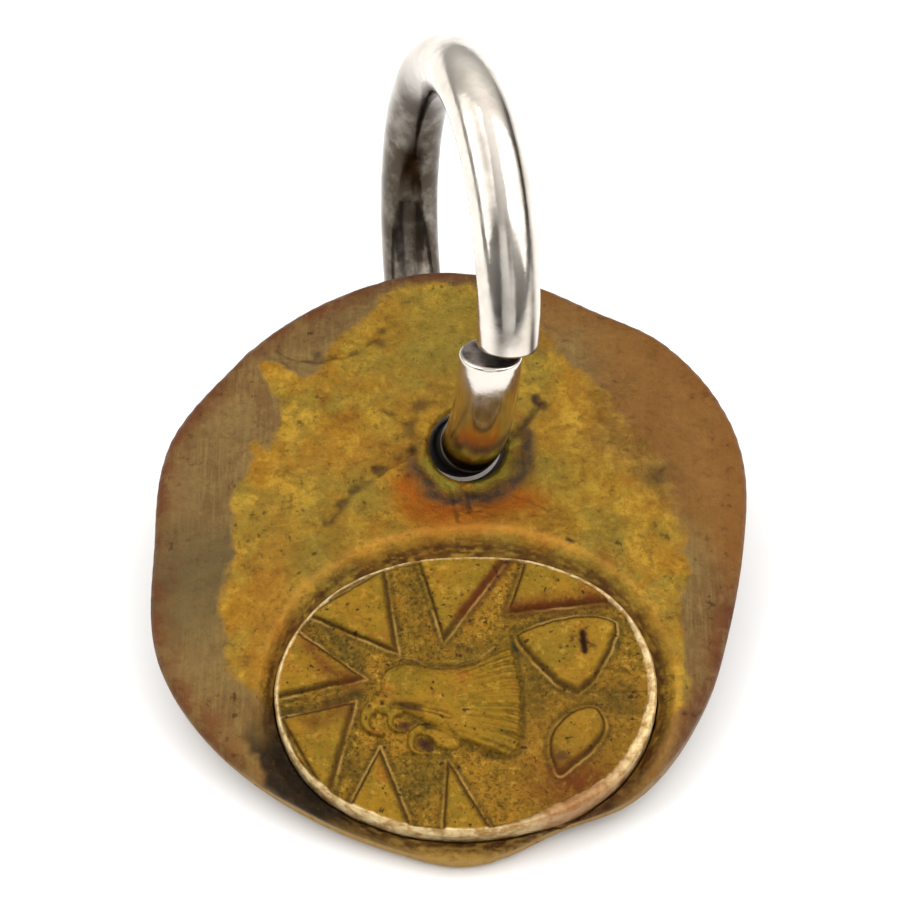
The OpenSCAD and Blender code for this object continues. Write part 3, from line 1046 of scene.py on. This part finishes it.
def medallion_material():
    g = Graph("medallion_brass")
    broad = g.noise(0.55, 5, 0.6)
    patches = g.noise(1.5, 6, 0.65, warp=0.4)
    fine = g.noise(6.5, 6, 0.75)
    bright = g.span(g.noise(4.5, 6, 0.75), 0.51, 0.64)
    ground = g.mix(g.span(broad, 0.42, 0.58), linear("7d601c"), linear("916b20"))
    ground = g.lay(ground, (g.span(fine, 0.46, 0.6), 0.7, "3d2f0f"),
                   (bright, g.span(patches, 0.4, 0.6, 0.25, 0.8), "b8953f"))
    charge = g.mix(g.span(broad, 0.42, 0.6), linear("916f20"), linear("836a20"))
    charge = g.lay(
        charge,
        (g.span(patches, 0.52, 0.68), 0.75, "8f5a1e"),
        (g.span(fine, 0.5, 0.64), 0.55, "553f14"),
        (g.span(g.noise(3.0, 5, 0.7), 0.54, 0.66), 0.5, "b4933d"),
    )
    shade = g.math("MULTIPLY", g.mask("shade"), g.span(patches, 0.35, 0.55, 0.5, 1.0))
    colour = g.lay(
        g.mix(g.mask("smooth"), ground, charge),
        ("warm", 0.3, "8a6222"),
        (shade, 0.85, "302c12"),
        ("plume", 0.4, "4d3f14"),
        # painted shade on the charges' walls
        ("wall_shade", 0.8, "3a280e"),
        ("rust", g.span(g.noise(2.2, 5, 0.65), 0.33, 0.55, 0.3, 0.95), "5f3014"),
        # bare-metal burrs with a painted highlight
        ("lines", 0.45, "cdaa6a"),
        (g.span(g.noise(4.2, 3, 0.5), 0.64, 0.71), 0.8, "2c1f14"),
        ("dark", 1.0, "33191a"),
        ("side", 0.9, "5f4220"),
    )
    # The rim lip: worn bare metal with a painted highlight, pink at the lower right.
    lip = g.mix(g.span(g.noise(2.2, 5, 0.7), 0.38, 0.66), linear("ecdab2"), linear("a9834d"))
    colour = g.mix(g.mask("lip"), colour, g.lay(lip, ("pink", 0.75, "a3714f")))
    rough = g.span(g.noise(2.0, 5, 0.6), 0.3, 0.7, 0.42, 0.6)
    normal = g.bump(g.noise(5.0, 7, 0.75), 0.00005, 0.8)
    return g.surface(deepen(g, colour, (0.95, 0.9, 0.75)), BRASS_METALLIC, rough, normal)


def ring_material():
    g = Graph("ring_silver")
    tarnish = g.span(g.noise(0.5, 5, 0.6), 0.42, 0.66)
    colour = g.lay(
        linear("ded7cd"),
        (tarnish, 0.4, "a99a88"),
        # painted dark reflections on the wire
        ("dark_reflection", g.span(g.noise(0.9, 5, 0.65), 0.3, 0.6, 0.75, 1.0), "4a4137"),
        ("warm", g.span(g.noise(1.2, 5, 0.65), 0.35, 0.6, 0.45, 0.8), "6a482a"),
    )
    cut_face = g.mix(g.span(g.noise(1.4, 5, 0.6), 0.4, 0.6), linear("4a423d"), linear("8a8078"))
    # Painted shade: the wire inside the hole is made near black, dull and rough.
    colour = g.lay(g.mix(g.mask("cut"), colour, cut_face), ("hole_shade", 0.97, "120e0b"))
    metallic = g.math("SUBTRACT", 1.0, g.mask("hole_shade"))
    g.shader.inputs["Specular IOR Level"].default_value = 0.1
    rough = g.span(g.noise(1.0, 5, 0.6), 0.35, 0.7, 0.12, 0.24)
    for mask, rougher in (("cut", 0.3), ("hole_shade", 0.7)):
        rough = g.math("ADD", rough, g.math("MULTIPLY", g.mask(mask), rougher))
    normal = g.bump(g.noise(2.5, 3, 0.5), 0.000015, 0.4)
    normal = g.bump(g.noise(6.0, 4, 0.6, stretch=(1.0, 1.0, 0.15)), 0.000004, 0.4, normal)
    return g.surface(colour, metallic, rough, normal)


def finish_piece(obj, body, node, material):
    obj.data.materials.append(material)
    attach(obj, body)
    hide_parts(node)


finish_piece(build_plate(), "pendant", "seal_plate", plate_material())
finish_piece(build_medallion(), "pendant", "seal_medallion", medallion_material())
finish_piece(build_ring(), "ring", "split_ring", ring_material())

# ---- Floor, light and camera ----


def plain_material(name, code, rough):
    g = Graph(name)
    g.shader.inputs["Base Color"].default_value = linear(code)
    g.shader.inputs["Roughness"].default_value = rough
    return g.material


def area_light(name, place, size, power):
    """A rectangular lamp that points at the middle of the pendant's height."""
    data = bpy.data.lights.new(name, "AREA")
    data.shape = "RECTANGLE"
    data.size, data.size_y = size
    data.energy = power
    obj = bpy.data.objects.new(name, data)
    obj.location = place
    to_pendant = Vector((0, 0, cad_box[1][2] / 2)) - Vector(place)
    obj.rotation_euler = to_pendant.to_track_quat("-Z", "Y").to_euler()
    bpy.context.scene.collection.objects.link(obj)


# The floor lies a hair below the pendant, so that the two never share a plane.
FLOOR_GAP = 0.00002
bpy.ops.mesh.primitive_plane_add(size=3, location=(0, 0, cad_box[0][2] - FLOOR_GAP))
floor = bpy.context.object
floor.name = "floor"
floor.data.materials.append(plain_material("floor_white", "ffffff", 0.7))

scene = bpy.context.scene
world = bpy.data.worlds.new("studio")
scene.world = world
world.use_nodes = True
sky = world.node_tree
direction = sky.nodes.new("ShaderNodeTexCoord")
split = sky.nodes.new("ShaderNodeSeparateXYZ")
ramp = sky.nodes.new("ShaderNodeValToRGB")
sky.links.new(direction.outputs["Generated"], split.inputs["Vector"])
sky.links.new(split.outputs["Z"], ramp.inputs["Fac"])
sky.links.new(ramp.outputs["Color"], sky.nodes["Background"].inputs["Color"])
SKY_STOPS = [(0.0, 0.22), (0.2, 0.3), (0.45, 0.5), (0.7, 0.8), (1.0, 0.95)]
for _ in SKY_STOPS[2:]:
    ramp.color_ramp.elements.new(0.5)
for element, (height, grey) in zip(ramp.color_ramp.elements, SKY_STOPS):
    element.position = height
    element.color = (grey, grey * 0.985, grey * 0.965, 1)
# The room is darker on the side of the face.
behind = sky.nodes.new("ShaderNodeMapRange")
for key, number in (("From Min", -0.95), ("From Max", 0.9), ("To Min", 0.42), ("To Max", 1.9)):
    behind.inputs[key].default_value = number
sky.links.new(split.outputs["Y"], behind.inputs["Value"])
sky.links.new(behind.outputs["Result"], sky.nodes["Background"].inputs["Strength"])

area_light("left_softbox", (-0.27, 0.03, 0.26), (0.42, 0.42), 0.83)
area_light("right_softbox", (0.27, 0.03, 0.26), (0.42, 0.42), 0.83)
area_light("front_softbox", (0.0, -0.30, 0.18), (0.30, 0.34), 0.22)

CAMERA_RISE = math.radians(48)
CAMERA_FAR = 0.1018
# The point looked at, from the ring's centre: in front of it and a little lower.
AIM_FROM_RING = (0.00005, -0.00762, -0.00114)
aim = Vector(JOINT["pos_m"]) + Vector(AIM_FROM_RING)
camera_data = bpy.data.cameras.new("camera")
camera_data.lens = 128
camera_data.sensor_width = 36
camera_data.clip_start = 0.005
camera = bpy.data.objects.new("camera", camera_data)
camera.location = aim + CAMERA_FAR * Vector((0, -math.cos(CAMERA_RISE), math.sin(CAMERA_RISE)))
camera.rotation_euler = (math.pi / 2 - CAMERA_RISE, 0, 0)
scene.collection.objects.link(camera)
scene.camera = camera
scene.view_settings.view_transform = "Standard"
